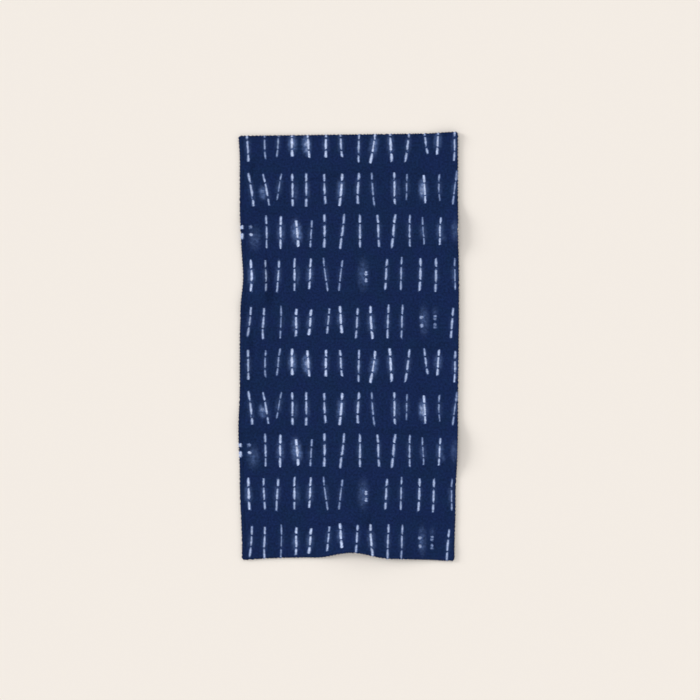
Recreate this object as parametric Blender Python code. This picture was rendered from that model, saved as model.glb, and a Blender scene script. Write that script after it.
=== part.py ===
"""Bath towel, laid out on a level surface, with low soft folds and lifted edges.

Units are metres and +Z is up. X runs across the towel and +Y along its length.
The origin is the middle of the towel, on the surface that it lies on.
"""

import math
from collections import namedtuple

import bmesh
import bpy
from mathutils import Vector

# Driving dimensions of the cut cloth
CLOTH_THICKNESS = 0.004
LAID_HALF_WIDTH = 0.347
LAID_HALF_LENGTH = 0.674

# The length differs between the sides, because folds on the left take some of it up
END_SLANT = 0.0043

# Cells of the cloth, across and along
CELLS_ACROSS = 44
CELLS_ALONG = 86

# How far into the cloth a bay in its outline still moves the threads
BAY_REACH = 0.20

# A bay is a soft stretch where an edge is drawn in, or with a minus sign pushed out.
# centre is measured along the edge: Y on the left and right edges, X on the two ends.
Bay = namedtuple("Bay", "name centre half_length drawn_in")

LEFT_BAYS = (
    Bay("upper corner", 0.700, 0.110, -0.0050),
    Bay("dent shoulder", 0.337, 0.100, 0.0035),
    Bay("dent", 0.223, 0.125, 0.0105),
    Bay("waist", 0.095, 0.070, 0.0018),
    Bay("lower bulge", -0.267, 0.140, -0.0045),
    Bay("lower taper", -0.642, 0.220, 0.0070),
)

RIGHT_BAYS = (
    Bay("upper pinch", 0.372, 0.032, 0.0018),
    Bay("upper lift", 0.335, 0.060, 0.0010),
    Bay("middle swell", 0.146, 0.380, -0.0036),
    Bay("lower lift", -0.335, 0.070, 0.0015),
    Bay("lower step", -0.440, 0.110, 0.0034),
    Bay("lower taper", -0.680, 0.380, 0.0112),
)

TOP_BAYS = (
    Bay("right corner", 0.355, 0.130, -0.0045),
)

BOTTOM_BAYS = (
    Bay("left corner", -0.345, 0.100, -0.0090),
    Bay("left flank", -0.255, 0.075, -0.0024),
    Bay("notch shoulder", -0.125, 0.060, 0.0012),
    Bay("ridge notch", 0.012, 0.125, 0.0185),
    Bay("right flank", 0.250, 0.100, -0.0012),
    Bay("right corner", 0.329, 0.080, -0.0035),
)

# A fold is a soft rise of the cloth above the surface. x and y are the middle of its crest,
# heading is the direction of the crest in degrees from +X towards +Y, crest is half the
# length that stays level and taper the length over which each end runs out. The cloth comes
# down over left_side and right_side, which are seen along the heading.
Fold = namedtuple("Fold", "name x y heading crest taper left_side right_side height")

FOLDS = (
    Fold("bottom ridge", 0.022, -0.690, 88, 0.020, 0.150, 0.150, 0.110, 0.0165),
    Fold("ridge flank", 0.090, -0.692, 90, 0.015, 0.115, 0.120, 0.220, 0.0110),
    Fold("bottom crease", -0.060, -0.556, 0, 0.030, 0.060, 0.040, 0.022, 0.0040),
    Fold("crease end", 0.034, -0.568, -30, 0.015, 0.055, 0.040, 0.020, 0.0062),
    Fold("upper right lift", 0.352, 0.370, 90, 0.015, 0.085, 0.120, 0.080, 0.0115),
    Fold("lower right lift", 0.348, -0.318, 90, 0.012, 0.085, 0.110, 0.078, 0.0105),
    Fold("right edge curl", 0.352, 0.130, 90, 0.500, 0.060, 0.060, 0.045, 0.0026),
    Fold("lower right corner", 0.340, -0.672, 90, 0.020, 0.050, 0.040, 0.040, 0.0020),
    Fold("upper right corner", 0.330, 0.682, 10, 0.020, 0.085, 0.060, 0.060, 0.0050),
    Fold("upper left lift", -0.348, 0.372, 90, 0.012, 0.065, 0.050, 0.065, 0.0045),
    Fold("middle left lift", -0.346, 0.130, 90, 0.010, 0.055, 0.050, 0.050, 0.0030),
    Fold("lower left lift", -0.352, -0.290, 90, 0.020, 0.070, 0.060, 0.060, 0.0020),
    Fold("dent fold", -0.270, 0.206, 95, 0.034, 0.066, 0.065, 0.022, 0.0088),
    Fold("shoulder fold", -0.268, 0.446, -7, 0.030, 0.070, 0.050, 0.030, 0.0046),
    Fold("corner fold", -0.318, 0.570, 78, 0.010, 0.050, 0.030, 0.030, 0.0024),
    Fold("left strip", -0.334, -0.020, 90, 0.060, 0.080, 0.016, 0.036, 0.0034),
    Fold("crease, rising", -0.085, 0.548, 8, 0.040, 0.085, 0.050, 0.022, 0.0032),
    Fold("crease, falling", 0.074, 0.562, -14, 0.030, 0.075, 0.050, 0.022, 0.0040),
    Fold("ripple, left", -0.275, -0.258, -3, 0.030, 0.100, 0.075, 0.027, 0.0042),
    Fold("ripple, middle", -0.060, -0.262, 0, 0.040, 0.120, 0.050, 0.027, 0.0016),
    Fold("ripple, right", 0.195, -0.258, -3, 0.070, 0.105, 0.060, 0.025, 0.0046),
    Fold("second ripple", -0.116, -0.309, 2, 0.060, 0.085, 0.034, 0.020, 0.0026),
    Fold("lower swell", -0.208, -0.490, 4, 0.030, 0.080, 0.040, 0.040, 0.0016),
)

INDIGO_COLOUR = (0.0086, 0.0203, 0.0723, 1.0)
CLOTH_ROUGHNESS = 0.95


def clear_objects():
    """Start from an empty scene."""
    for item in list(bpy.data.objects):
        bpy.data.objects.remove(item)


def soft_bump(distance, half_size):
    """Bell that is 1 in its middle and levels out to 0 at half_size."""
    share = abs(distance) / half_size
    if share >= 1.0:
        return 0.0
    return math.cos(0.5 * math.pi * share) ** 2


def drawn_in(bays, along):
    """Distance that an edge is drawn in at a place along it."""
    return sum(bay.drawn_in * soft_bump(along - bay.centre, bay.half_length) for bay in bays)


def laid_place(across, along):
    """Plan position of a thread crossing, from its shares of the width and the length."""
    x = LAID_HALF_WIDTH * (2.0 * across - 1.0)
    half_length = LAID_HALF_LENGTH + END_SLANT * (2.0 * across - 1.0)
    y = half_length * (2.0 * along - 1.0)
    to_left = x + LAID_HALF_WIDTH
    to_right = LAID_HALF_WIDTH - x
    to_bottom = y + half_length
    to_top = half_length - y
    moved_x = (
        x
        + drawn_in(LEFT_BAYS, y) * soft_bump(to_left, BAY_REACH)
        - drawn_in(RIGHT_BAYS, y) * soft_bump(to_right, BAY_REACH)
    )
    moved_y = (
        y
        + drawn_in(BOTTOM_BAYS, x) * soft_bump(to_bottom, BAY_REACH)
        - drawn_in(TOP_BAYS, x) * soft_bump(to_top, BAY_REACH)
    )
    return moved_x, moved_y


def fold_height(x, y):
    """Height of the cloth's underside above the surface."""
    height = 0.0
    for fold in FOLDS:
        heading = math.radians(fold.heading)
        run = (x - fold.x) * math.cos(heading) + (y - fold.y) * math.sin(heading)
        side = (y - fold.y) * math.cos(heading) - (x - fold.x) * math.sin(heading)
        past_crest = max(abs(run) - fold.crest, 0.0)
        side_width = fold.left_side if side > 0.0 else fold.right_side
        height += fold.height * soft_bump(past_crest, fold.taper) * soft_bump(side, side_width)
    return height


def fabric(name, colour, roughness):
    """Plain cloth material."""
    material = bpy.data.materials.new(name)
    material.use_nodes = True
    shader = material.node_tree.nodes["Principled BSDF"]
    shader.inputs["Base Color"].default_value = colour
    shader.inputs["Roughness"].default_value = roughness
    shader.inputs["Metallic"].default_value = 0.0
    return material


def towel_cloth():
    """The towel's one panel: a grid in the laid shape, thickened upwards."""
    sheet = bmesh.new()
    bmesh.ops.create_grid(sheet, x_segments=CELLS_ACROSS, y_segments=CELLS_ALONG, size=0.5)
    for crossing in sheet.verts:
        x, y = laid_place(crossing.co.x + 0.5, crossing.co.y + 0.5)
        crossing.co = Vector((x, y, fold_height(x, y)))
    mesh = bpy.data.meshes.new("towel_cloth")
    sheet.to_mesh(mesh)
    sheet.free()
    mesh.shade_smooth()
    mesh.materials.append(fabric("indigo_pile_cloth", INDIGO_COLOUR, CLOTH_ROUGHNESS))

    cloth = bpy.data.objects.new("towel_cloth", mesh)
    bpy.context.scene.collection.objects.link(cloth)
    thicken = cloth.modifiers.new("cloth_thickness", "SOLIDIFY")
    thicken.thickness = CLOTH_THICKNESS
    thicken.offset = 1.0
    return cloth


def main():
    clear_objects()
    towel_cloth()


main()
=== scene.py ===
"""Bath towel of stitch-resist dyed pile cloth, laid out on a pale studio floor.

Units are metres and +Z is up. X runs across the towel and +Y along its length.
The cloth's own flat coordinates, kept in its UV map, start at its lower left corner and
run to the cut size, so the dyed marks stay on the threads wherever a fold moves them.
"""

import logging
import math
import random
from collections.abc import Callable
from dataclasses import dataclass, replace
from enum import Enum
from functools import partial
from typing import Any

import bmesh
import bpy
import numpy as np
from mathutils import Matrix, Vector, noise


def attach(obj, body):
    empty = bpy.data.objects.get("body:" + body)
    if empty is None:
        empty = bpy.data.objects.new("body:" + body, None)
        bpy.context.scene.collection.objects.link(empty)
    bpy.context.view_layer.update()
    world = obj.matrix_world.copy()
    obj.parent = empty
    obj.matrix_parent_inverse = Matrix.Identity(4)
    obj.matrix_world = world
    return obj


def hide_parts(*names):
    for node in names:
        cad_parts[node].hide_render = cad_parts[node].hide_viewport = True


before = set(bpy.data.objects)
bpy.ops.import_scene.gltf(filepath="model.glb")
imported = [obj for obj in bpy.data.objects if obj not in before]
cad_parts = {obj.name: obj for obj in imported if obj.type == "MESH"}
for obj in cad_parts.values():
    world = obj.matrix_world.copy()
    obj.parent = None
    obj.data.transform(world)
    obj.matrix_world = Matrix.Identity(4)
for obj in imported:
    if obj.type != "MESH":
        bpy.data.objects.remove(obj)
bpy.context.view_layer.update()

log = logging.getLogger("bath_towel")

Array = np.ndarray
Pair = tuple[float, float]
Mesh = bpy.types.Mesh
Piece = bpy.types.Object
Socket = bpy.types.NodeSocket
AddNode = Callable[..., Socket]

# Cut size of the cloth, before it was laid
CUT_WIDTH = 0.700
CUT_LENGTH = 1.370
CUT_SIZE = np.array((CUT_WIDTH, CUT_LENGTH))

# Place of the thread's turns on a mark, as a share of its half length
HOLE_PLACE = 0.435

# Names of the layers that carry the cloth's coordinates and the dyed marks
CLOTH_MAP = "cloth_uv"
MARK_MAP = "mark_uv"
MARK_LINE = "mark_line"
MARK_GLOW = "mark_glow"
MARK_CLOUD = "mark_cloud"
MARK_DOTS = "mark_dots"

# Setting of a Map Range node that eases in and out
SMOOTH = {"interpolation_type": "SMOOTHSTEP"}


# Small tools


def linear(hex_code: str) -> tuple[float, float, float, float]:
    """Turns an sRGB hex colour into a linear one.

    Args:
        hex_code: The colour as #RRGGBB.

    Returns:
        Red, green, blue and an alpha of 1.
    """
    levels = [int(hex_code[start:start + 2], 16) / 255.0 for start in (1, 3, 5)]
    red, green, blue = (
        level / 12.92 if level <= 0.04045 else ((level + 0.055) / 1.055) ** 2.4
        for level in levels
    )
    return red, green, blue, 1.0


def add_node(
    tree: bpy.types.NodeTree,
    kind: str,
    feeds: dict[int | str, Any] | tuple = (),
    out: int | str = 0,
    **settings: Any,
) -> Socket:
    """Adds a shader node with its settings, values and links.

    Args:
        tree: The node tree that takes the node.
        kind: The node's type, without its ShaderNode prefix.
        feeds: Sockets or values for its inputs, in order or by input name or number.
        out: The output that is wanted.
        settings: The node's own properties.

    Returns:
        The wanted output of the new node.
    """
    node = tree.nodes.new("ShaderNode" + kind)
    for name, value in settings.items():
        setattr(node, name, value)
    for place, value in feeds.items() if isinstance(feeds, dict) else enumerate(feeds):
        if isinstance(value, Socket):
            tree.links.new(value, node.inputs[place])
        else:
            node.inputs[place].default_value = value
    return node.outputs[out]


def soft_bump(distance: Array, half_size: Array | float) -> Array:
    """Bell that is 1 in its middle and levels out to 0 at half_size."""
    share = np.minimum(np.abs(distance) / half_size, 1.0)
    return np.cos(0.5 * math.pi * share) ** 2


def turned(x: Array, y: Array, angle: Array | float) -> tuple[Array, Array]:
    """Turns distances across and along by an angle in radians, from +X towards +Y."""
    return x * np.cos(angle) - y * np.sin(angle), x * np.sin(angle) + y * np.cos(angle)


def unit(vectors: Array) -> Array:
    """Brings every row of an array to a length of 1."""
    return vectors / np.linalg.norm(vectors, axis=1)[:, None]


def waves(flat: Array, size: float) -> Array:
    """Smooth noise at points of the flat cloth, with humps of one size."""
    return np.array([noise.noise((x / size, y / size, 0.0)) for x, y in flat.tolist()])


def drawn(count: int, draw: Callable[..., float], *values: float) -> Array:
    """Draws count numbers with a seeded generator's method and the values that it takes."""
    return np.array([draw(*values) for _ in range(count)])


def values_of(
    items: bpy.types.bpy_prop_collection, name: str, columns: int = 0, kind: type = float
) -> Array:
    """Reads one property of all vertices, corners or faces of a mesh.

    Args:
        items: The vertices, corners or faces.
        name: The property's name.
        columns: How many numbers it has, or 0 for a single one.
        kind: The type of its numbers.

    Returns:
        One row or number for each item.
    """
    values = np.zeros(len(items) * max(columns, 1), dtype=kind)
    items.foreach_get(name, values)
    return values.reshape(-1, columns) if columns else values


def corner_values(mesh: Mesh, name: str, values: Array) -> None:
    """Stores one, two or three numbers for each face corner.

    Args:
        mesh: The mesh that takes the layer.
        name: The layer's name.
        values: One row for each corner. Two columns make a UV map, three a vector.
    """
    flat = np.ascontiguousarray(values, dtype=np.float32).ravel()
    if values.ndim == 1:
        mesh.attributes.new(name, "FLOAT", "CORNER").data.foreach_set("value", flat)
    elif values.shape[1] == 2:
        mesh.uv_layers.new(name=name).uv.foreach_set("vector", flat)
    else:
        mesh.attributes.new(name, "FLOAT_VECTOR", "CORNER").data.foreach_set("vector", flat)


def copies_of(name: str, model: bmesh.types.BMesh, turns: Array, places: Array) -> Mesh:
    """Joins many turned and moved copies of one small shape into a mesh.

    Args:
        name: The new mesh's name.
        model: The small shape, which is freed.
        turns: A 3 by 3 matrix for each copy.
        places: Where each copy's origin goes.

    Returns:
        The joined mesh.
    """
    model.verts.index_update()
    points = np.array([vert.co for vert in model.verts])
    faces = [[vert.index for vert in face.verts] for face in model.faces]
    model.free()
    spread = np.einsum("nij,mj->nmi", turns, points) + places[:, None, :]
    count = len(points)
    joined = [
        [start + corner for corner in face]
        for start in range(0, count * len(places), count)
        for face in faces
    ]
    mesh = bpy.data.meshes.new(name)
    mesh.from_pydata(spread.reshape(-1, 3).tolist(), [], joined)
    return mesh


def shown(name: str, data: Mesh | bpy.types.Light | bpy.types.Camera) -> Piece:
    """Puts a mesh, a light or a camera into the scene, as an object at the origin.

    Args:
        name: The object's name.
        data: Its mesh, light or camera.

    Returns:
        The new object.
    """
    piece = bpy.data.objects.new(name, data)
    bpy.context.scene.collection.objects.link(piece)
    return piece


# How the cloth lies


@dataclass(frozen=True)
class Bay:
    """A soft stretch where an edge is drawn in, or with a minus sign pushed out.

    centre is measured along the edge: Y on the left and right edges, X on the two ends.
    """

    name: str
    centre: float
    half_length: float
    drawn_in: float


@dataclass(frozen=True)
class Fold:
    """A soft rise of the cloth above the surface.

    x and y are the middle of its crest and heading is the crest's direction in degrees from
    +X towards +Y. crest is half the length that stays level, taper the length over which each
    end runs out, and the cloth comes down over left_side and right_side, seen along it.
    """

    name: str
    x: float
    y: float
    heading: float
    crest: float
    taper: float
    left_side: float
    right_side: float
    height: float


@dataclass(frozen=True)
class Crease:
    """A narrow soft trough in the pile, where the cloth was folded or has slipped.

    x and y are its middle and heading is its direction in degrees from +X towards +Y.
    """

    name: str
    x: float
    y: float
    heading: float
    half_length: float
    half_width: float
    depth: float


@dataclass(frozen=True)
class Lay:
    """The outline, folds and creases of the towel as it lies.

    The half length is longer by end_slant at the right edge than in the middle, and shorter
    by as much at the left one. What a bay moves fades out bay_reach into the cloth.
    """

    half_width: float = 0.347
    half_length: float = 0.674
    end_slant: float = 0.0043
    bay_reach: float = 0.20
    left: tuple[Bay, ...] = (
        Bay("upper corner", 0.700, 0.110, -0.0050),
        Bay("dent shoulder", 0.337, 0.100, 0.0035),
        Bay("dent", 0.223, 0.125, 0.0105),
        Bay("waist", 0.095, 0.070, 0.0018),
        Bay("lower bulge", -0.267, 0.140, -0.0045),
        Bay("lower taper", -0.642, 0.220, 0.0070),
    )
    right: tuple[Bay, ...] = (
        Bay("upper pinch", 0.372, 0.032, 0.0018),
        Bay("upper lift", 0.335, 0.060, 0.0010),
        Bay("middle swell", 0.146, 0.380, -0.0036),
        Bay("lower lift", -0.335, 0.070, 0.0015),
        Bay("lower step", -0.440, 0.110, 0.0034),
        Bay("lower taper", -0.680, 0.380, 0.0112),
    )
    top: tuple[Bay, ...] = (Bay("right corner", 0.355, 0.130, -0.0045),)
    bottom: tuple[Bay, ...] = (
        Bay("left corner", -0.345, 0.100, -0.0090),
        Bay("left flank", -0.255, 0.075, -0.0024),
        Bay("notch shoulder", -0.125, 0.060, 0.0012),
        Bay("ridge notch", 0.012, 0.125, 0.0185),
        Bay("right flank", 0.250, 0.100, -0.0012),
        Bay("right corner", 0.329, 0.080, -0.0035),
    )
    folds: tuple[Fold, ...] = (
        Fold("bottom ridge", 0.022, -0.690, 88, 0.020, 0.150, 0.150, 0.110, 0.0165),
        Fold("ridge flank", 0.090, -0.692, 90, 0.015, 0.115, 0.120, 0.220, 0.0110),
        Fold("bottom crease", -0.060, -0.556, 0, 0.030, 0.060, 0.040, 0.022, 0.0040),
        Fold("crease end", 0.034, -0.568, -30, 0.015, 0.055, 0.040, 0.020, 0.0062),
        Fold("upper right lift", 0.352, 0.370, 90, 0.015, 0.085, 0.120, 0.080, 0.0115),
        Fold("lower right lift", 0.348, -0.318, 90, 0.012, 0.085, 0.110, 0.078, 0.0105),
        Fold("right edge curl", 0.352, 0.130, 90, 0.500, 0.060, 0.060, 0.045, 0.0026),
        Fold("lower right corner", 0.340, -0.672, 90, 0.020, 0.050, 0.040, 0.040, 0.0020),
        Fold("upper right corner", 0.330, 0.682, 10, 0.020, 0.085, 0.060, 0.060, 0.0050),
        Fold("upper left lift", -0.348, 0.372, 90, 0.012, 0.065, 0.050, 0.065, 0.0045),
        Fold("middle left lift", -0.346, 0.130, 90, 0.010, 0.055, 0.050, 0.050, 0.0030),
        Fold("lower left lift", -0.352, -0.290, 90, 0.020, 0.070, 0.060, 0.060, 0.0020),
        Fold("dent fold", -0.270, 0.206, 95, 0.034, 0.066, 0.065, 0.022, 0.0088),
        Fold("shoulder fold", -0.268, 0.446, -7, 0.030, 0.070, 0.050, 0.030, 0.0046),
        Fold("corner fold", -0.318, 0.570, 78, 0.010, 0.050, 0.030, 0.030, 0.0024),
        Fold("left strip", -0.334, -0.020, 90, 0.060, 0.080, 0.016, 0.036, 0.0034),
        Fold("crease, rising", -0.085, 0.548, 8, 0.040, 0.085, 0.050, 0.022, 0.0032),
        Fold("crease, falling", 0.074, 0.562, -14, 0.030, 0.075, 0.050, 0.022, 0.0040),
        Fold("ripple, left", -0.275, -0.258, -3, 0.030, 0.100, 0.075, 0.027, 0.0042),
        Fold("ripple, middle", -0.060, -0.262, 0, 0.040, 0.120, 0.050, 0.027, 0.0016),
        Fold("ripple, right", 0.195, -0.258, -3, 0.070, 0.105, 0.060, 0.025, 0.0046),
        Fold("second ripple", -0.116, -0.309, 2, 0.060, 0.085, 0.034, 0.020, 0.0026),
        Fold("lower swell", -0.208, -0.490, 4, 0.030, 0.080, 0.040, 0.040, 0.0016),
    )
    creases: tuple[Crease, ...] = (
        Crease("upper, rising", -0.100, 0.529, 9, 0.105, 0.008, 0.0017),
        Crease("upper, level", 0.030, 0.549, 0, 0.085, 0.008, 0.0024),
        Crease("upper, falling", 0.098, 0.536, -24, 0.060, 0.008, 0.0028),
        Crease("ripple foot, left", -0.276, -0.284, -5, 0.065, 0.012, 0.0014),
        Crease("ripple foot, middle", -0.060, -0.278, 0, 0.120, 0.010, 0.0008),
        Crease("ripple foot, right", 0.190, -0.279, -3, 0.135, 0.012, 0.0024),
        Crease("second foot", -0.115, -0.328, 2, 0.120, 0.011, 0.0034),
        Crease("second foot, end", 0.060, -0.315, -12, 0.040, 0.009, 0.0016),
        Crease("bottom, level", -0.048, -0.566, -2, 0.090, 0.0068, 0.0042),
        Crease("bottom, falling", 0.019, -0.578, -42, 0.046, 0.0074, 0.0050),
        Crease("bottom, spot", 0.071, -0.558, 82, 0.042, 0.012, 0.0028),
        Crease("strip foot", -0.303, -0.005, 90, 0.135, 0.013, 0.0015),
        Crease("dent core", -0.248, 0.194, 95, 0.085, 0.013, 0.0018),
        Crease("dent core, upper", -0.2535, 0.246, 96, 0.060, 0.012, 0.0024),
        Crease("shoulder foot", -0.270, 0.420, -7, 0.075, 0.016, 0.0022),
        Crease("corner foot", -0.299, 0.566, 80, 0.040, 0.014, 0.0013),
    )

    def place(self, across: Array, along: Array) -> tuple[Array, Array]:
        """Plan position of thread crossings.

        Args:
            across: Shares of the width, from the left edge.
            along: Shares of the length, from the lower end.

        Returns:
            X and Y of each crossing.
        """
        x = self.half_width * (2.0 * across - 1.0)
        half_length = self.half_length + self.end_slant * (2.0 * across - 1.0)
        y = half_length * (2.0 * along - 1.0)
        moved_x = x + self.drawn_in(self.left, y, x + self.half_width)
        moved_x -= self.drawn_in(self.right, y, self.half_width - x)
        moved_y = y + self.drawn_in(self.bottom, x, y + half_length)
        moved_y -= self.drawn_in(self.top, x, half_length - y)
        return moved_x, moved_y

    def drawn_in(self, bays: tuple[Bay, ...], along: Array, away: Array) -> Array:
        """Distance that threads move with an edge, from their places along and away from it."""
        at_edge = sum(bay.drawn_in * soft_bump(along - bay.centre, bay.half_length) for bay in bays)
        return at_edge * soft_bump(away, self.bay_reach)

    def lift(self, x: Array, y: Array) -> Array:
        """Height of the cloth's underside above the surface.

        Args:
            x: Plan positions across.
            y: Plan positions along.

        Returns:
            The height at each position.
        """
        height = np.zeros_like(x)
        for fold in self.folds:
            run, side = turned(x - fold.x, y - fold.y, -math.radians(fold.heading))
            past_crest = np.maximum(np.abs(run) - fold.crest, 0.0)
            width = np.where(side > 0.0, fold.left_side, fold.right_side)
            height += fold.height * soft_bump(past_crest, fold.taper) * soft_bump(side, width)
        return height

    def pressed(self, x: Array, y: Array) -> Array:
        """Depth that the creases press into the pile.

        Args:
            x: Plan positions across.
            y: Plan positions along.

        Returns:
            The depth at each position.
        """
        depth = np.zeros_like(x)
        for crease in self.creases:
            run, side = turned(x - crease.x, y - crease.y, -math.radians(crease.heading))
            along = soft_bump(run, crease.half_length)
            depth += crease.depth * along * soft_bump(side, crease.half_width)
        return depth


# The dyed marks


@dataclass(frozen=True)
class Cloud:
    """Blurred patch of pale cloth, where a line of stitches was drawn up tight.

    across and up are its place beside the mark's middle, width and length half its size.
    """

    share: float = 0.0
    across: float = 0.0
    up: float = 0.0
    width: float = 0.020
    length: float = 0.050


@dataclass(frozen=True)
class Dots:
    """Two dots above and two below a mark's middle, where a tight thread went through.

    inner and outer are their distances from the middle. share is the share of undyed cloth
    in the lower two, and above is the strength of the upper two as a share of theirs.
    """

    share: float = 0.0
    inner: float = 0.0125
    outer: float = 0.0125
    above: float = 1.0


@dataclass(frozen=True)
class MarkForm:
    """What one kind of mark looks like.

    light is the share of undyed cloth in its middle. The glows are the shares of dye that
    was kept off to its left and to its right.
    """

    half_width: float = 0.0034
    light: float = 0.86
    glows: Pair = (0.10, 0.10)
    cloud: Cloud = Cloud()
    dots: Dots = Dots()


# A place that was drawn up tight and shows no line of stitches
UNSEWN = partial(MarkForm, light=0.0, glows=(0.0, 0.0))


class MarkKind(Enum):
    """The kinds of mark: the letter that stands for each in the chart, and its form."""

    PLAIN = "m", MarkForm()
    THIN = "t", MarkForm(0.0024, 0.77)
    BROAD = "b", MarkForm(0.0041, 0.96, (0.33, 0.27))
    BLOTTED = "o", MarkForm(light=0.90, cloud=Cloud(0.64, -0.013, -0.008, 0.019, 0.034))
    GLOWING = "g", MarkForm(0.0046, 1.0, (0.60, 0.54), Cloud(0.60, -0.003, 0.006, 0.026, 0.062))
    BLED_LEFT = "l", MarkForm(0.0041, 1.0, (0.56, 0.26), Cloud(0.76, -0.006, -0.002, 0.022))
    BLED_RIGHT = "r", MarkForm(0.0041, 1.0, (0.42, 0.40), Cloud(0.64, 0.003))
    BLOTTED_RIGHT = "x", MarkForm(light=0.96, cloud=Cloud(0.24, 0.012, -0.020, 0.012, 0.022))
    HAZED_RIGHT = "h", MarkForm(
        light=0.92, glows=(0.10, 0.20), cloud=Cloud(0.24, 0.010, -0.004, 0.015, 0.056)
    )
    CLOUD_RIGHT = "c", UNSEWN(
        cloud=Cloud(0.34, 0.007, 0.004, 0.023, 0.074), dots=Dots(0.66, 0.0110, 0.0130)
    )
    CLOUD_LEFT = "k", UNSEWN(
        cloud=Cloud(0.34, -0.009, 0.007, 0.028, 0.076), dots=Dots(0.74, 0.0080, 0.0145, 1.15)
    )
    PAIR = "p", UNSEWN(dots=Dots(0.96, 0.0095, 0.0140))
    PAIR_IN_CLOUD = "q", UNSEWN(
        cloud=Cloud(0.30, 0.012, -0.024, 0.032, 0.058), dots=Dots(0.90, 0.0115, 0.0130, 0.65)
    )
    DOTTED = "d", UNSEWN(
        cloud=Cloud(0.20, 0.0, 0.032, 0.016, 0.028), dots=Dots(0.56, 0.0078, 0.0165, 1.1)
    )
    FAINT = "f", UNSEWN(cloud=Cloud(0.29, 0.0, 0.0, 0.021, 0.056))


class Lean(Enum):
    """How a line of stitches leans: its sign in the chart, and degrees to the right."""

    FAR_LEFT = "<", -8.0
    LEFT = "(", -4.0
    UPRIGHT = "|", 0.0
    RIGHT = ")", 4.0
    FAR_RIGHT = ">", 7.5


class Reach(Enum):
    """How far a line of stitches reaches: its sign in the chart, its length and its rise.

    The length is a share of a full mark's, and the rise that of the line's middle above the
    row's, as a share of a full mark's half length.
    """

    FULL = "|", 1.0, 0.0
    UPPER = "^", 0.83, 0.17
    MIDDLE = "-", 0.83, 0.0
    LOWER = ".", 0.83, -0.17


def charted(options: type[Enum], sign: str) -> tuple:
    """Values of the option that a sign of the chart stands for, after the sign itself."""
    return next(option.value[1:] for option in options if option.value[0] == sign)


@dataclass(frozen=True)
class ChartRow:
    """One row of the chart: where it is, and the kind, lean, reach and place of each mark.

    The places are distances from the left edge, to the nearest 5 mm.
    """

    from_top: float
    kinds: str
    leans: str
    reaches: str
    columns: tuple[float, ...]


@dataclass(frozen=True)
class Mark:
    """One mark of the pattern, with its middle in the cloth's flat coordinates.

    line is the flat height of the row that it stands in. The holes are the places of the
    thread's upper and lower turn, and the bends are those of the end stitches.
    """

    glows: tuple[float, ...]
    x: float
    y: float
    line: float
    lean: float
    half_length: float
    half_width: float
    holes: tuple[float, ...]
    bends: tuple[float, ...]
    seed: float
    form: MarkForm


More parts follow.
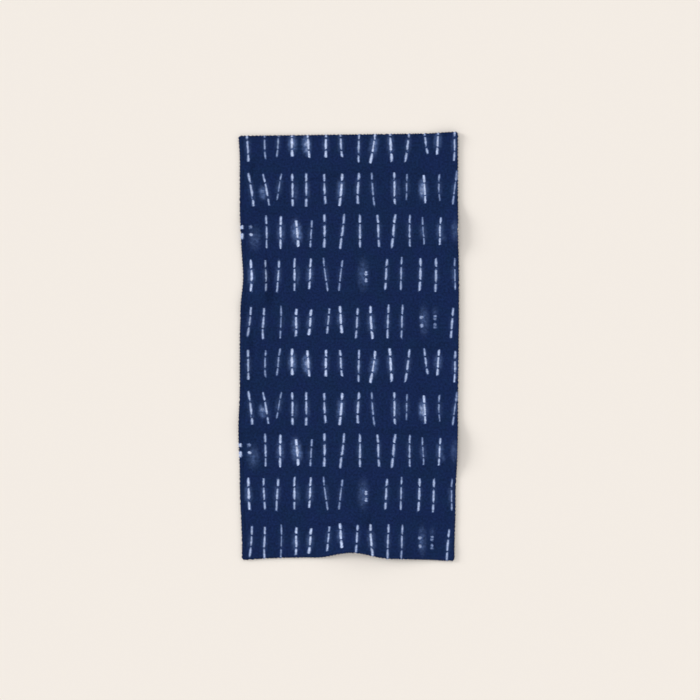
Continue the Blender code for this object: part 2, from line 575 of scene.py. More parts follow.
@dataclass(frozen=True)
class ResistChart:
    """The stitch-resist pattern: short lines of stitches in rows, as a repeat of five rows."""

    rows: tuple[ChartRow, ...] = (
        ChartRow(
            0.037, "mttrlbmmbbmmbm", "||)|(|||>()<)|", "|^^^^^^||||^^|",
            (0.025, 0.080, 0.125, 0.165, 0.220, 0.275, 0.325,
             0.380, 0.430, 0.485, 0.540, 0.595, 0.635, 0.690),
        ),
        ChartRow(
            0.177, "mothmmbmthtltt", "<<>||())(||(|>", "||^|||||||^--|",
            (0.035, 0.085, 0.125, 0.170, 0.215, 0.270, 0.325,
             0.380, 0.425, 0.495, 0.535, 0.595, 0.640, 0.690),
        ),
        ChartRow(
            0.311, "pqmbgtmmmmmmtxf", "||||()|>||)|(||", "||||..||||||--|",
            (0.005, 0.030, 0.085, 0.130, 0.185, 0.230, 0.270, 0.330,
             0.385, 0.445, 0.495, 0.545, 0.590, 0.645, 0.690),
        ),
        ChartRow(
            0.453, "bmmhbttkmmmmt", "|()||<>||||||", "|||||||.|||||",
            (0.025, 0.075, 0.120, 0.175, 0.225, 0.275, 0.325,
             0.405, 0.470, 0.520, 0.580, 0.630, 0.690),
        ),
        ChartRow(
            0.607, "mmtbbmbmbmmcdm", "))|()>()()|||)", "|||--^^|||||||",
            (0.030, 0.075, 0.130, 0.180, 0.225, 0.285, 0.325,
             0.375, 0.420, 0.475, 0.520, 0.585, 0.625, 0.680),
        ),
    )
    repeat: float = 0.710
    half_length: float = 0.0525
    drift_across: float = 0.0020
    drift_along: float = 0.0035
    lean_spread: float = 1.2
    hole_spread: float = 0.055
    bend_spread: float = 0.050
    length_spread: float = 0.03
    width_spread: float = 0.09
    glow_spread: float = 0.08
    most_seed: float = 10.0
    seed: int = 5

    def marks(self) -> list[Mark]:
        """Works out every mark on the cloth.

        Returns:
            The marks, row by row from the top, the repeat printed until the cloth is full.
        """
        draw = random.Random(self.seed)
        gauss = partial(draw.gauss, 0.0)
        shift = partial(draw.uniform, -1.0, 1.0)
        first = []
        for row in self.rows:
            line = CUT_LENGTH - row.from_top
            signs = zip(row.kinds, row.leans, row.reaches, row.columns, strict=True)
            for letter, sign, span, column in signs:
                (form,) = charted(MarkKind, letter)
                (lean,) = charted(Lean, sign)
                length, rise = charted(Reach, span)
                mark = Mark(
                    glows=tuple(
                        glow + abs(gauss(self.glow_spread)) * (form.light > 0.0)
                        for glow in form.glows
                    ),
                    x=column + shift() * self.drift_across,
                    y=line + self.half_length * rise + shift() * self.drift_along,
                    line=line,
                    lean=math.radians(lean + gauss(self.lean_spread)),
                    half_length=self.half_length * length * (1.0 + gauss(self.length_spread)),
                    half_width=form.half_width * (1.0 + gauss(self.width_spread)),
                    holes=tuple(HOLE_PLACE + gauss(self.hole_spread) for _ in range(2)),
                    bends=tuple(gauss(self.bend_spread) for _ in range(2)),
                    seed=draw.uniform(0.0, self.most_seed),
                    form=form,
                )
                first.append(mark)
        second = [
            replace(mark, y=mark.y - self.repeat, line=mark.line - self.repeat) for mark in first
        ]
        return first + second

    def print_on(self, mesh: Mesh, flat: Array) -> None:
        """Gives each corner of a mesh its place on the nearest mark, and that mark's form.

        Args:
            mesh: The mesh that takes the layers.
            flat: The cloth's flat coordinates of each corner.
        """
        marks = self.marks()
        x, y, lines, leans = np.array([(m.x, m.y, m.line, m.lean) for m in marks]).T
        starts = values_of(mesh.polygons, "loop_start", kind=np.int32)
        totals = values_of(mesh.polygons, "loop_total", kind=np.int32)
        middles = np.add.reduceat(flat, starts, axis=0) / totals[:, None]
        heights = np.unique(lines)
        line_of_face = heights[np.argmin(np.abs(middles[:, 1:] - heights), axis=1)]
        across = (middles[:, :1] - x) * np.cos(leans)
        across -= (middles[:, 1:] - y) * np.sin(leans)
        elsewhere = lines != line_of_face[:, None]
        nearest = np.argmin(np.abs(across) + elsewhere * CUT_LENGTH, axis=1)
        nearest = np.repeat(nearest, totals)
        beside, run = turned(flat[:, 0] - x[nearest], flat[:, 1] - y[nearest], leans[nearest])

        # The end stitches turn a little away from the middle one, and differ in length
        half_length, hole_top, hole_low, bend_top, bend_low = np.array(
            [(m.half_length, *m.holes, *m.bends) for m in marks]
        )[nearest].T
        share = run / half_length
        beside -= bend_top * half_length * np.maximum(share - hole_top, 0.0)
        beside -= bend_low * half_length * np.maximum(-share - hole_low, 0.0)
        hole = np.where(share > 0.0, hole_top, hole_low)
        size = np.abs(share)
        within = size / hole * HOLE_PLACE
        beyond = HOLE_PLACE + (size - hole) * (1.0 - HOLE_PLACE) / (1.0 - hole)
        share = np.sign(share) * np.where(size < hole, within, beyond)

        corner_values(mesh, MARK_MAP, np.column_stack((beside, share)))
        corner_values(mesh, MARK_CLOUD, self.clouds(marks, flat))
        dots = [m.form.dots for m in marks]
        layers = {
            MARK_LINE: [(m.half_width, m.half_length, m.form.light) for m in marks],
            MARK_GLOW: [(*m.glows, m.seed) for m in marks],
            MARK_DOTS: [(pair.inner, pair.outer, pair.share) for pair in dots],
        }
        above = np.where(run > 0.0, np.array([pair.above for pair in dots])[nearest], 1.0)
        for name, values in layers.items():
            stored = np.array(values)[nearest]
            if name == MARK_DOTS:
                stored[:, 2] *= above
            corner_values(mesh, name, stored)

    @staticmethod
    def clouds(marks: list[Mark], flat: Array) -> Array:
        """Strength of the clouds of the lines that were drawn up tight.

        Args:
            marks: The marks.
            flat: The cloth's flat coordinates of each point.

        Returns:
            The share of undyed cloth in the strongest cloud at each point.
        """
        strongest = np.zeros(len(flat))
        for mark in marks:
            cloud = mark.form.cloud
            if cloud.share > 0.0:
                beside, run = turned(*(flat - (mark.x, mark.y)).T, mark.lean)
                wide = (beside - cloud.across) / cloud.width
                away = np.hypot(wide, (run - cloud.up) / cloud.length)
                strongest = np.maximum(strongest, cloud.share * soft_bump(away, 1.0))
        return strongest


# Finishes


class Finish:
    """A finish of the towel or the studio."""

    name: str

    def surface(self, node: AddNode) -> dict[str, Any]:
        """Adds the finish's own nodes, and gives the inputs of its shader by name."""
        raise NotImplementedError

    def material(self) -> bpy.types.Material:
        """Builds the finish's material.

        Returns:
            The material.
        """
        material = bpy.data.materials.new(self.name)
        material.use_nodes = True
        tree = material.node_tree
        tree.nodes.remove(tree.nodes["Principled BSDF"])
        node = partial(add_node, tree)
        shader = node("BsdfPrincipled", self.surface(node))
        tree.links.new(shader, tree.nodes["Material Output"].inputs["Surface"])
        return material


@dataclass(frozen=True)
class MarkSockets:
    """Sockets with a point's place on the cloth and on its mark, and with the mark's values."""

    cloth: Socket
    cloud: Socket
    beside: Socket
    run: Socket
    share: Socket
    out: Socket
    local: Socket
    half_width: Socket
    light: Socket
    glow_left: Socket
    glow_right: Socket
    dot_inner: Socket
    dot_outer: Socket
    dots: Socket

    @classmethod
    def read(cls, node: AddNode) -> "MarkSockets":
        """Reads the layers that the chart printed on the mesh.

        Args:
            node: Adds a node to the material.

        Returns:
            The sockets.
        """
        cloth = node("UVMap", uv_map=CLOTH_MAP)
        cloud = node("Attribute", out="Fac", attribute_name=MARK_CLOUD)
        spot = node("UVMap", uv_map=MARK_MAP)
        beside, share, _ = node("SeparateXYZ", (spot,)).node.outputs
        values = []
        for layer in (MARK_LINE, MARK_GLOW, MARK_DOTS):
            stored = node("Attribute", out="Vector", attribute_name=layer)
            values += node("SeparateXYZ", (stored,)).node.outputs
        half_width, half_length, light, glow_left, glow_right, seed, *dots = values
        run = node("Math", (share, half_length), operation="MULTIPLY")
        out = node("Math", (beside,), operation="ABSOLUTE")
        local = node("CombineXYZ", (beside, run, seed))
        place = (cloth, cloud, beside, run, share, out, local)
        return cls(*place, half_width, light, glow_left, glow_right, *dots)


@dataclass(frozen=True)
class ShearedPile(Finish):
    """Cotton pile, sheared level and dyed indigo over stitched resists.

    The cut tips scatter light, so it looks matt and even from above, with a faint soft
    sheen at a low angle. The dye is a little cloudy, and crept under the stitches' rims.
    A span is the part of a noise that is stretched to the full range, or to the range of the
    same name. A fade is where something ends and where it has its full strength.
    """

    name: str = "indigo_sheared_pile"
    ground: str = "#132649"
    ground_deep: str = "#122346"
    ground_violet: str = "#15234E"
    violet_share: float = 0.60
    half_dyed: str = "#495E8A"
    half_dyed_level: float = 0.28
    undyed: str = "#C0CEEE"
    dye_power: float = 1.35
    sheen_tint: str = "#7F97D6"
    dye_cloud_size: float = 0.055
    dye_span: Pair = (0.32, 0.68)
    pile_clump_size: float = 0.0070
    pile_clump_height: float = 0.0006
    pile_clump_tone: float = 0.28
    # Cut tips stand about 1 mm apart, too fine to show, so they are drawn at 2 mm
    pile_tip_size: float = 0.0020
    pile_tip_tone: float = 0.16
    pile_tip_share: float = 0.45
    pile_span: Pair = (0.3, 0.7)
    feather: float = 0.0024
    feather_size: float = 0.0110
    feather_along: float = 0.16
    # Middle and half length of each of a mark's three stitches, as shares of its half length
    stitches: tuple[Pair, ...] = ((0.742, 0.258), (0.0, 0.390), (-0.742, 0.258))
    stitch_taper: float = 0.28
    stitch_end: float = 0.050
    line_softness: float = 0.0040
    glow_reach: float = 0.0160
    glow_growth: float = 0.0120
    glow_core: float = 0.0024
    glow_fade: Pair = (0.92, 0.08)
    # Streaks lie about 17 mm apart across a mark and 12 mm along it
    streaks_per_metre: tuple[float, float, float] = (60.0, 80.0, 1.0)
    streak_span: Pair = (0.32, 0.68)
    streak_range: Pair = (0.45, 1.0)
    pucker_half: float = 0.030
    pucker_share: float = 0.80
    wisp_size: float = 0.0125
    wisp_span: Pair = (0.34, 0.66)
    wisp_range: Pair = (0.44, 1.08)
    dot_half_width: float = 0.0070
    dot_half_height: float = 0.0050
    dot_fade: Pair = (1.35, 0.25)
    dot_wobble: float = 0.0090
    wobbles_per_metre: float = 120.0

    def surface(self, node: AddNode) -> dict[str, Any]:
        """Adds the pile's dye, grain and relief.

        Args:
            node: Adds a node to the material.

        Returns:
            The inputs of its shader, by name.
        """
        at = MarkSockets.read(node)
        resist = 0.0
        for part in (self.lines, self.halo, self.mist, self.spots):
            resist = node("Math", (resist, part(node, at)), operation="MAXIMUM")
        even = node("Math", (resist, self.dye_power), operation="POWER")
        faint = node("MapRange", (even, 0.0, self.half_dyed_level))
        strong = node("MapRange", (even, self.half_dyed_level, 1.0))

        feeds = {"Vector": at.cloth, "Scale": 1.0 / self.dye_cloud_size, "Detail": 3.0}
        cloud = node("TexNoise", feeds, "Color")
        depth, tint, _ = node("SeparateXYZ", (cloud,)).node.outputs
        dye = node("MapRange", (depth, *self.dye_span), **SMOOTH)
        violet = node("MapRange", (tint, *self.dye_span, 0.0, self.violet_share), **SMOOTH)
        clumps, tips = (
            node("TexNoise", {"Vector": at.cloth, "Scale": 1.0 / size, "Detail": detail})
            for size, detail in ((self.pile_clump_size, 2.0), (self.pile_tip_size, 1.0))
        )
        relief = node("Math", (tips, self.pile_tip_share, clumps), operation="MULTIPLY_ADD")
        bump = node(
            "Bump", {"Strength": 0.6, "Distance": self.pile_clump_height, "Height": relief}
        )

        colour = linear(self.ground_deep)
        for share, tone in (
            (dye, self.ground),
            (violet, self.ground_violet),
            (faint, self.half_dyed),
            (strong, self.undyed),
        ):
            colour = node("Mix", {0: share, 6: colour, 7: linear(tone)}, 2, data_type="RGBA")
        for grain, tone in ((clumps, self.pile_clump_tone), (tips, self.pile_tip_tone)):
            shade = node("MapRange", (grain, *self.pile_span, 1.0 - tone, 1.0 + tone))
            colour = node("VectorMath", {0: colour, "Scale": shade}, operation="SCALE")
        return {
            "Base Color": colour,
            "Roughness": 0.95,
            "Specular IOR Level": 0.05,
            "Sheen Weight": 0.04,
            "Sheen Roughness": 0.5,
            "Sheen Tint": linear(self.sheen_tint),
            "Normal": bump,
        }

    def lines(self, node: AddNode, at: MarkSockets) -> Socket:
        """The three stitches of a mark, with rims feathered where the dye crept in.

        Args:
            node: Adds a node to the material.
            at: The point's place on its mark.

        Returns:
            A socket with their share of undyed cloth.
        """
        feeds = {"Vector": at.local, "Scale": 1.0 / self.feather_size, "Detail": 2.0}
        feather = node("TexNoise", feeds)
        ragged = node("MapRange", (feather, 0.0, 1.0, -self.feather, self.feather), clamp=False)
        from_line = node("Math", (at.out, ragged), operation="ADD")
        ends = (self.feather_along, -self.feather_along)
        slipped = node("MapRange", (feather, 0.0, 1.0, *ends), clamp=False)
        share = node("Math", (at.share, slipped), operation="ADD")
        lines = 0.0
        for middle, half in self.stitches:
            along = node("Math", (share, middle), operation="SUBTRACT")
            along = node("Math", (along,), operation="ABSOLUTE")
            square = node("Math", (along, 2.0), operation="POWER")
            bulge = node("MapRange", (square, 0.0, half**2, 1.0, 1.0 - self.stitch_taper))
            reach = node("Math", (at.half_width, bulge), operation="MULTIPLY")
            beyond = node("Math", (from_line, reach), operation="SUBTRACT")
            body = node("MapRange", (beyond, self.line_softness, -self.line_softness), **SMOOTH)
            rims = (half + self.stitch_end, half - self.stitch_end)
            end = node("MapRange", (along, *rims), **SMOOTH)
            stitch = node("Math", (body, end), operation="MULTIPLY")
            lines = node("Math", (lines, stitch), operation="MAXIMUM")
        return node("Math", (lines, at.light), operation="MULTIPLY")

    def halo(self, node: AddNode, at: MarkSockets) -> Socket:
        """Dye kept off beside the line, in streaks and in puckers at the thread's holes.

        Args:
            node: Adds a node to the material.
            at: The point's place on its mark.

        Returns:
            A socket with its share of undyed cloth.
        """
        streaks = node("VectorMath", (at.local, self.streaks_per_metre), operation="MULTIPLY")
        streaky = node("TexNoise", {"Vector": streaks, "Scale": 1.0, "Detail": 2.0})
        streaky = node("MapRange", (streaky, *self.streak_span, *self.streak_range))
        is_right = node("Math", (at.beside, 0.0), operation="GREATER_THAN")
        side_glow = node("Mix", {0: is_right, 2: at.glow_left, 3: at.glow_right})
        reach = node(
            "Math", (side_glow, self.glow_growth, self.glow_reach), operation="MULTIPLY_ADD"
        )
        near = node("MapRange", (at.out, reach, self.glow_core), **SMOOTH)
        from_middle = node("Math", (at.share,), operation="ABSOLUTE")
        within = node("MapRange", (from_middle, *self.glow_fade), **SMOOTH)
        from_hole = node("Math", (from_middle, HOLE_PLACE), operation="SUBTRACT")
        from_hole = node("Math", (from_hole,), operation="ABSOLUTE")
        pucker = node(
            "MapRange", (from_hole, self.pucker_half, 0.0, 0.0, self.pucker_share), **SMOOTH
        )
        spread = node("Math", (within, streaky), operation="MULTIPLY")
        spread = node("Math", (spread, pucker), operation="MAXIMUM")
        glow = node("Math", (near, side_glow), operation="MULTIPLY")
        return node("Math", (spread, glow), operation="MULTIPLY")

    def mist(self, node: AddNode, at: MarkSockets) -> Socket:
        """The clouds of the lines that were drawn up tight, broken up into wisps.

        Args:
            node: Adds a node to the material.
            at: The point's place on the cloth.

        Returns:
            A socket with their share of undyed cloth.
        """
        feeds = {"Vector": at.cloth, "Scale": 1.0 / self.wisp_size, "Detail": 2.0}
        wisps = node("TexNoise", feeds)
        wisps = node("MapRange", (wisps, *self.wisp_span, *self.wisp_range))
        return node("Math", (at.cloud, wisps), operation="MULTIPLY")

    def spots(self, node: AddNode, at: MarkSockets) -> Socket:
        """Dots where the thread of a tight line went through the cloth.

        Args:
            node: Adds a node to the material.
            at: The point's place on its mark.

        Returns:
            A socket with their share of undyed cloth.
        """
        feeds = {"Vector": at.local, "Scale": self.wobbles_per_metre, "Detail": 2.0}
        wobble = node("TexNoise", feeds, "Color")
        place = node("CombineXYZ", (at.beside, at.run))
        shift = (self.dot_wobble,) * 3
        place = node("VectorMath", (wobble, shift, place), operation="MULTIPLY_ADD")
        mean = (0.5 * self.dot_wobble,) * 3
        place = node("VectorMath", (place, mean), operation="SUBTRACT")
        place = node("VectorMath", (place,), operation="ABSOLUTE")
        size = (self.dot_half_width, self.dot_half_height, 1.0)
        spots = 0.0
        for height in (at.dot_inner, at.dot_outer):
            middle = node("CombineXYZ", {1: height})
            away = node("VectorMath", (place, middle), operation="SUBTRACT")
            away = node("VectorMath", (away, size), operation="DIVIDE")
            away = node("VectorMath", (away,), "Value", operation="LENGTH")
            dot = node("MapRange", (away, *self.dot_fade), **SMOOTH)
            spots = node("Math", (spots, dot), operation="MAXIMUM")
        return node("Math", (spots, at.dots), operation="MULTIPLY")


@dataclass(frozen=True)
class LoopedBack(Finish):
    """Uncut cotton loops on the back, dyed through in plain indigo.

    The loops stand up as small knobs. The gaps between them are painted darker, as shade,
    so the back looks rougher and a little lighter than the sheared face. knob_fade is where a
    knob ends and where it has its full height, as shares of loop_pitch.
    """

    name: str = "indigo_looped_terry"
    loop_light: str = "#24376A"
    # Painted shade: the colour given to the gaps between the loops
    gap_painted_shade: str = "#101C3B"
    # Real loops are about 2 mm apart, too fine to show, so they are drawn at 5 mm
    loop_pitch: float = 0.005
    loop_height: float = 0.0012
    knob_fade: Pair = (0.75, 0.1)

    def surface(self, node: AddNode) -> dict[str, Any]:
        """Adds the loops' colour, with painted shade in the gaps between them, and their relief.

        Args:
            node: Adds a node to the material.

        Returns:
            The inputs of its shader, by name.
        """
        cloth = node("UVMap", uv_map=CLOTH_MAP)
        feeds = {"Vector": cloth, "Scale": 1.0 / self.loop_pitch, "Randomness": 0.65}
        loops = node("TexVoronoi", feeds, "Distance")
        knob = node("MapRange", (loops, *self.knob_fade), **SMOOTH)
        # Mixes in the painted shade colour where a knob ends, in the gaps between the loops
        tones = {0: knob, 6: linear(self.gap_painted_shade), 7: linear(self.loop_light)}
        bump = node("Bump", {"Strength": 0.9, "Distance": self.loop_height, "Height": knob})
        return {
            "Base Color": node("Mix", tones, 2, data_type="RGBA"),
            "Roughness": 0.95,
            "Specular IOR Level": 0.15,
            "Sheen Weight": 0.1,
            "Normal": bump,
        }


@dataclass(frozen=True)
class SewingThread(Finish):
    """Spun cotton thread, dyed with the cloth: as dark as the pile, and barely smoother."""

    name: str = "indigo_spun_thread"
    light: str = "#1C2E5C"
    deep: str = "#14234A"
    ply_pitch: float = 0.0012

    def surface(self, node: AddNode) -> dict[str, Any]:
        """Adds the shades of the thread's plies.

        Args:
            node: Adds a node to the material.

        Returns:
            The inputs of its shader, by name.
        """
        place = node("TexCoord", out="Object")
        feeds = {"Vector": place, "Scale": 1.0 / self.ply_pitch, "Detail": 1.0}
        tones = {0: node("TexNoise", feeds), 6: linear(self.deep), 7: linear(self.light)}
        colour = node("Mix", tones, 2, data_type="RGBA")
        return {"Base Color": colour, "Roughness": 0.75, "Specular IOR Level": 0.2}


@dataclass(frozen=True)
class PaleFloor(Finish):
    """Seamless matt studio paper in a warm off-white."""

    name: str = "matt_studio_paper"
    colour: str = "#EEE7DF"

    def surface(self, node: AddNode) -> dict[str, Any]:
        """Gives the paper's plain inputs, which need no nodes of their own."""
        return {"Base Color": linear(self.colour), "Roughness": 1.0, "Specular IOR Level": 0.0}


# The towel's pieces


@dataclass(frozen=True)
class Hem:
    """Narrow turned hem on the four sides, held by one line of lockstitch.

    It is raised over level_width from the edge, and slopes down to the cloth over slope.
    """

    level_width: float = 0.008
    slope: float = 0.004
    raise_over_cloth: float = 0.0010
    seam_inset: float = 0.008
    groove_half_width: float = 0.0014
    groove_depth: float = 0.00035


@dataclass(frozen=True)
class TowelCloth:
    """The towel's one panel, with its rounded rim, its hem and its uneven pile.

    The cloth stops drawn_back short of its tufts' tips. At the very edge its rim keeps
    rim_least of its thickness, and rim_steps are the mesh's first cells from the edge.
    Faces whose normals point down past back_slope belong to the back.
    """

    lay: Lay = Lay()
    hem: Hem = Hem()
    chart: ResistChart = ResistChart()
    thickness: float = 0.0042
    drawn_back: float = 0.0014
    rim_radius: float = 0.0025
    rim_least: float = 0.15
    corner_radius: float = 0.005
    rim_steps: tuple[float, ...] = (
        0.0004, 0.0008, 0.0013, 0.0020, 0.0021, 0.0007, 0.0007, 0.0007, 0.0013, 0.0010, 0.0020,
    )
    cells_across: int = 130
    cells_along: int = 258
    settle_size: float = 0.045
    settle_height: float = 0.00035
    tuft_size: float = 0.014
    tuft_height: float = 0.00018
    back_slope: float = -0.5

    def build(self) -> Piece:
        """Makes the cloth's mesh in its laid shape.

        Returns:
            The cloth, with its front and back finishes.
        """
        sheet = bmesh.new()
        rim = 2 * len(self.rim_steps)
        bmesh.ops.create_grid(
            sheet, x_segments=self.cells_across + rim, y_segments=self.cells_along + rim, size=0.5
        )
        bmesh.ops.solidify(sheet, geom=sheet.faces[:], thickness=1.0)
        bmesh.ops.recalc_face_normals(sheet, faces=sheet.faces[:])
        mesh = bpy.data.meshes.new("towel_pile_cloth")
        sheet.to_mesh(mesh)
        sheet.free()

        points = values_of(mesh.vertices, "co", 3)
        cells = (self.cells_across, self.cells_along)
        flat = np.column_stack([
            self.spaced(points[:, axis] + 0.5, cells[axis], CUT_SIZE[axis]) for axis in range(2)
        ])
        upper = points[:, 2] > points[:, 2].mean()
        mesh.vertices.foreach_set("co", self.shaped(flat, upper).ravel())
        flat = flat[values_of(mesh.loops, "vertex_index", kind=np.int32)]
        corner_values(mesh, CLOTH_MAP, flat)
        self.chart.print_on(mesh, flat)
        self.dress(mesh)
        mesh.shade_smooth()
        mesh.update()
        return shown("towel_pile_cloth", mesh)

    def dress(self, mesh: Mesh) -> None:
        """Gives the face and rim the dyed pile, and the back its loops.

        Args:
            mesh: The cloth's mesh, in place.
        """
        for finish in (ShearedPile(), LoopedBack()):
            mesh.materials.append(finish.material())
        on_back = values_of(mesh.polygons, "normal", 3)[:, 2] < self.back_slope
        mesh.polygons.foreach_set("material_index", on_back.astype(np.int32))

    def spaced(self, share: Array, cells: int, size: float) -> Array:
        """Turns even grid lines into flat distances that are closer together at the rim.

        Args:
            share: Places on the even grid, from 0 to 1.
            cells: Number of even cells between the two rims.
            size: The cloth's cut size in this direction.

        Returns:
            Distances from the cloth's edge.
        """
        rim = np.concatenate(([0.0], np.cumsum(self.rim_steps)))
        lines = np.concatenate((rim, size - rim[::-1]))
        steps = np.arange(len(rim))
        last = cells + 2 * len(self.rim_steps)
        counts = np.concatenate((steps, last - steps[::-1]))
        return np.interp(share * last, counts, lines)

    def shaped(self, flat: Array, upper: Array | bool) -> Array:
        """Puts points of the flat cloth where they lie.

        Args:
            flat: Their flat coordinates.
            upper: True for points of the face, False for points of the back.

        Returns:
            The points' positions.
        """
        to_edge = np.minimum(flat, CUT_SIZE - flat)
        inward = to_edge.min(axis=1)
        x, y = self.lay.place(*(
            np.interp(distance, (0.0, size), (self.drawn_back / size, 1.0 - self.drawn_back / size))
            for distance, size in zip(self.rounded_corners(flat, to_edge).T, CUT_SIZE, strict=True)
        ))
        lift = self.lay.lift(x, y)
        pressed = self.lay.pressed(x, y)

        hem = self.hem
        on_hem = soft_bump(np.maximum(inward - hem.level_width, 0.0), hem.slope)
        groove = hem.groove_depth * soft_bump(inward - hem.seam_inset, hem.groove_half_width)
        full = self.thickness + hem.raise_over_cloth * on_hem
        uneven = self.settle_height * waves(flat, self.settle_size)
        uneven += self.tuft_height * waves(flat, self.tuft_size)
        top = full + uneven * (1.0 - on_hem) - pressed - groove
        # The back follows a crease down, as far as the cloth is lifted there
        under = groove - np.minimum(pressed, lift)

        into_rim = 1.0 - np.minimum(inward, self.rim_radius) / self.rim_radius
        profile = self.rim_least + (1.0 - self.rim_least) * np.sqrt(1.0 - into_rim**2)
        middle = 0.5 * full
        height = middle + (np.where(upper, top, under) - middle) * profile
        return np.column_stack((x, y, lift + height))

    def rounded_corners(self, flat: Array, to_edge: Array) -> Array:
        """Draws the square corners of the sheet in to soft round ones.

        Args:
            flat: Flat coordinates of the points.
            to_edge: Their distances to the nearer long edge and to the nearer end.

        Returns:
            The flat coordinates after rounding.
        """
        past = np.maximum(self.corner_radius - to_edge, 0.0)
        straight = np.hypot(*past.T)
        kept = np.ones_like(straight)
        np.divide(past.max(axis=1), straight, out=kept, where=straight > 0.0)
        inwards = np.where(flat < 0.5 * CUT_SIZE, 1.0, -1.0)
        return flat + inwards * past * (1.0 - kept)[:, None]


@dataclass(frozen=True)
class EdgeWalk:
    """Places round the towel's edge, a fixed step apart, and the flat way ahead at each."""

    cloth: TowelCloth
    flat: Array
    ahead: Array
    nudge: float = 0.002

    @classmethod
    def stepped(cls, cloth: TowelCloth, inset: float, step: float) -> "EdgeWalk":
        """Works the places out.

        Args:
            cloth: The towel's cloth.
            inset: Distance of the line from the edge.
            step: Flat distance between two places.

        Returns:
            The walk, from the lower left corner along the lower end.
        """
        far = np.array(((0, 0), (1, 0), (1, 1), (0, 1)))
        corners = np.where(far, CUT_SIZE - inset, inset)
        sides = []
        for start, way in zip(corners, np.roll(corners, -1, axis=0) - corners, strict=True):
            count = int(np.linalg.norm(way) / step)
            shares = (np.arange(count) + 0.5) / count
            ahead = np.repeat([np.sign(way)], count, axis=0)
            sides.append((start + shares[:, None] * way, ahead))
        return cls(cloth, *map(np.concatenate, zip(*sides, strict=True)))

    def heading(self, flat: Array) -> Array:
        """Unit vectors along the laid towel's edge, at flat places near the walk's own."""
        before, after = (
            self.cloth.shaped(flat + way * self.nudge * self.ahead, True) for way in (-1.0, 1.0)
        )
        return unit(after - before)


@dataclass(frozen=True)
class HemSeam:
    """The lockstitches that hold the hem, on both faces of the towel."""

    cloth: TowelCloth
    stitch_pitch: float = 0.0035
    stitch_length: float = 0.0028
    thread_radius: float = 0.00030
    sink: float = 0.0001
    skew_spread: float = 0.06
    seed: int = 11

    def build(self) -> Piece:
        """Sews the seam, one small spindle for each stitch.

        Returns:
            The seam as one piece.
        """
        walk = EdgeWalk.stepped(self.cloth, self.cloth.hem.seam_inset, self.stitch_pitch)
        run = walk.heading(walk.flat)
        side = unit(np.cross((0.0, 0.0, 1.0), run))
        skew = drawn(len(run), random.Random(self.seed).gauss, 0.0, self.skew_spread)
        turns = np.stack((run + side * skew[:, None], side, np.cross(run, side)), axis=2)
        places = []
        for upper, out in ((True, 1.0), (False, -1.0)):
            spots = self.cloth.shaped(walk.flat, upper)
            spots[:, 2] += out * (self.thread_radius - self.sink)
            spots[:, 2] = np.maximum(spots[:, 2], self.thread_radius)
            places.append(spots)
        model = bmesh.new()
        size = Vector((0.5 * self.stitch_length, self.thread_radius, self.thread_radius))
        laid_along = Matrix.Diagonal(size).to_4x4() @ Matrix.Rotation(0.5 * math.pi, 4, "Y")
        bmesh.ops.create_uvsphere(model, u_segments=6, v_segments=4, radius=1.0, matrix=laid_along)
        mesh = copies_of("hem_seam", model, np.tile(turns, (2, 1, 1)), np.concatenate(places))
        mesh.materials.append(SewingThread().material())
        mesh.shade_smooth()
        return shown("hem_seam", mesh)


@dataclass(frozen=True)
class EdgePile:
    """Tufts of pile that stand out round the towel's rim and give it a soft serrated line.

    Their length swells and shrinks by scallop_share once every scallop_pitch, with a drift in
    waves that are scallop_drift times as long. The rows fan out from the rim's middle.
    """

    cloth: TowelCloth
    step: float = 0.0012
    rows: int = 3
    row_rise: float = 0.0012
    row_fan: float = 0.35
    tuft_length: float = 0.0049
    tuft_radius: float = 0.0009
    tip_share: float = 0.55
    length_range: Pair = (0.92, 1.06)
    yaw_spread: float = 0.16
    pitch_spread: float = 0.25
    root_inset: float = 0.0040
    scallop_pitch: float = 0.0105
    scallop_share: float = 0.28
    scallop_drift: float = 3.0
    seed: int = 23

    def build(self) -> Piece:
        """Sets the tufts round the rim.

        Returns:
            The tufts as one piece.
        """
        draw = random.Random(self.seed)
        walk = EdgeWalk.stepped(self.cloth, self.root_inset, self.step)
        count = len(walk.flat)
        rows = []
        for row in range(self.rows):
            level = row - 0.5 * (self.rows - 1)
            shift = drawn(count, draw.uniform, -0.5, 0.5) * self.step
            flat = walk.flat + walk.ahead * shift[:, None]
            spots = 0.5 * (self.cloth.shaped(flat, True) + self.cloth.shaped(flat, False))
            spots[:, 2] += level * self.row_rise
            run = walk.heading(flat)
            scallops = np.abs(flat * walk.ahead).sum(axis=1) / self.scallop_pitch
            scallops += waves(flat, self.scallop_drift * self.scallop_pitch)
            reach = drawn(count, draw.uniform, *self.length_range)
            reach += self.scallop_share * np.cos(2.0 * math.pi * scallops)
            yaw = drawn(count, draw.gauss, 0.0, self.yaw_spread)
            pitch = drawn(count, draw.gauss, 0.0, self.pitch_spread) + self.row_fan * level
            aim = unit(np.cross(run, (0.0, 0.0, 1.0))) + run * yaw[:, None]
            steepest_down = (self.tuft_radius - spots[:, 2]) / self.tuft_length
            aim[:, 2] = np.maximum(aim[:, 2] + pitch, steepest_down)
            aim = unit(aim)
            side = unit(np.cross((0.0, 0.0, 1.0), aim))
            turn = np.stack((side, np.cross(aim, side), aim * reach[:, None]), axis=2)
            rows.append((turn, spots, flat))
        turns, places, roots = map(np.concatenate, zip(*rows, strict=True))
        model = bmesh.new()
        bmesh.ops.create_cone(
            model, cap_ends=True, segments=4, radius1=self.tuft_radius,
            radius2=self.tip_share * self.tuft_radius, depth=self.tuft_length,
            matrix=Matrix.Translation((0.0, 0.0, 0.5 * self.tuft_length)),
        )
        corners = sum(len(face.verts) for face in model.faces)
        mesh = copies_of("edge_pile", model, turns, places)
        flat = np.repeat(roots, corners, axis=0)
        corner_values(mesh, CLOTH_MAP, flat)
        self.cloth.chart.print_on(mesh, flat)
        mesh.materials.append(bpy.data.materials[ShearedPile.name])
        return shown("edge_pile", mesh)


# The studio


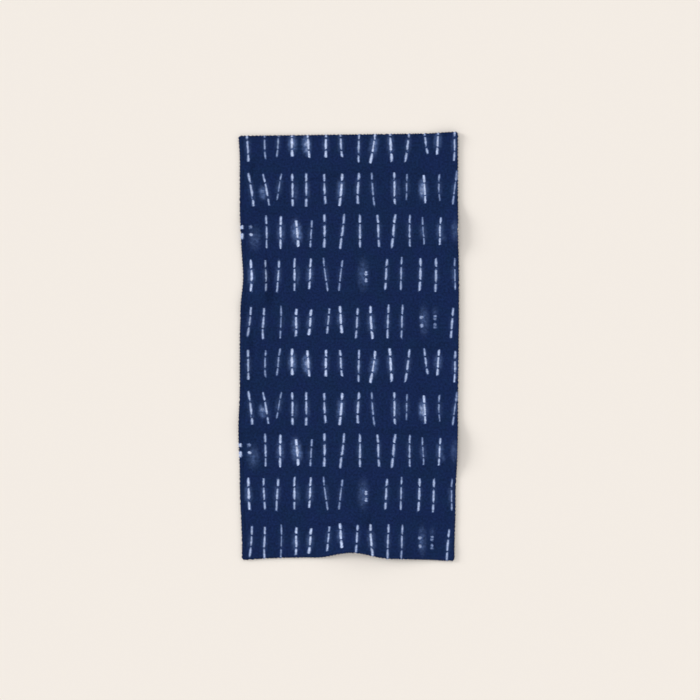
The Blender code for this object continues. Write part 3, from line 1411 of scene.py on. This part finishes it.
@dataclass(frozen=True)
class Studio:
    """Pale floor, a wide ring of soft light low round the towel, and one softer key light."""

    image_side: int = 700
    metres_per_pixel: float = 0.00318
    lens: float = 150.0
    sensor: float = 36.0
    aim: Pair = (0.0037, -0.0113)
    floor_size: float = 40.0
    floor_drop: float = 0.0002
    ring_strength: float = 1.57
    cap_strength: float = 0.675
    ring_from: Pair = (0.10, 0.18)
    ring_to: Pair = (0.44, 0.53)
    key_azimuth: float = 163.0
    key_elevation: float = 18.0
    key_angle: float = 20.0
    key_strength: float = 2.03
    backdrop: str = "#F3ECE4"

    def build(self) -> None:
        """Sets up the floor, the lights and the camera."""
        bpy.context.scene.view_settings.view_transform = "Standard"
        self.floor()
        self.surround()
        self.key()
        self.camera()

    def floor(self) -> None:
        """Lays the floor just under the towel."""
        plate = bmesh.new()
        down = Matrix.Translation((0.0, 0.0, -self.floor_drop))
        side = 0.5 * self.floor_size
        bmesh.ops.create_grid(plate, x_segments=1, y_segments=1, size=side, matrix=down)
        mesh = bpy.data.meshes.new("studio_floor")
        plate.to_mesh(mesh)
        plate.free()
        mesh.materials.append(PaleFloor().material())
        shown("studio_floor", mesh)

    def surround(self) -> None:
        """Lights the towel from a ring above the horizon and, more weakly, from above."""
        world = bpy.data.worlds.new("studio_light")
        world.use_nodes = True
        tree = world.node_tree
        node = partial(add_node, tree)
        height = node("SeparateXYZ", (node("TexCoord", out="Generated"),), "Z")
        drop = self.ring_strength - self.cap_strength
        rise = node("MapRange", (height, *self.ring_from, 0.0, self.ring_strength))
        fall = node("MapRange", (height, *self.ring_to, 0.0, drop))
        strength = node("Math", (rise, fall), operation="SUBTRACT")
        lit = node("Background", ((1.0, 1.0, 1.0, 1.0), strength))
        seen = node("Background", (linear(self.backdrop), 1.0))
        both = node("MixShader", (node("LightPath", out="Is Camera Ray"), lit, seen))
        tree.links.new(both, tree.nodes["World Output"].inputs["Surface"])
        bpy.context.scene.world = world

    def key(self) -> None:
        """Adds the key light, low on the left and very soft."""
        lamp = bpy.data.lights.new("key_light", "SUN")
        lamp.energy = self.key_strength
        lamp.angle = math.radians(self.key_angle)
        azimuth = math.radians(self.key_azimuth)
        elevation = math.radians(self.key_elevation)
        level = math.cos(elevation)
        towards = Vector((
            level * math.cos(azimuth), level * math.sin(azimuth), math.sin(elevation)
        ))
        light = shown("key_light", lamp)
        light.rotation_euler = towards.to_track_quat("Z", "Y").to_euler()

    def camera(self) -> None:
        """Puts the camera square above the towel, at the distance that gives its size."""
        lens = bpy.data.cameras.new("camera")
        lens.lens = self.lens
        lens.sensor_width = self.sensor
        camera = shown("camera", lens)
        distance = self.image_side * self.metres_per_pixel * self.lens / self.sensor
        camera.location = (*self.aim, distance)
        bpy.context.scene.camera = camera


def report(piece: Piece) -> None:
    """Logs a finished piece.

    Args:
        piece: The piece.
    """
    triangles = sum(len(face.vertices) - 2 for face in piece.data.polygons)
    sides = [round(1000.0 * side, 1) for side in piece.dimensions]
    log.info("%s: %d triangles, %s mm", piece.name, triangles, sides)


def main() -> None:
    """Builds the towel, declares its pieces and sets up the studio."""
    logging.basicConfig(level=logging.INFO, format="%(name)s %(message)s")
    cloth = TowelCloth()
    towel = cloth.build()
    seam = HemSeam(cloth).build()
    tufts = EdgePile(cloth).build()
    bpy.context.view_layer.update()
    for piece in (towel, seam, tufts):
        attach(piece, "root")
        report(piece)
    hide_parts("towel_cloth")
    Studio().build()


if __name__ == "__main__":
    main()
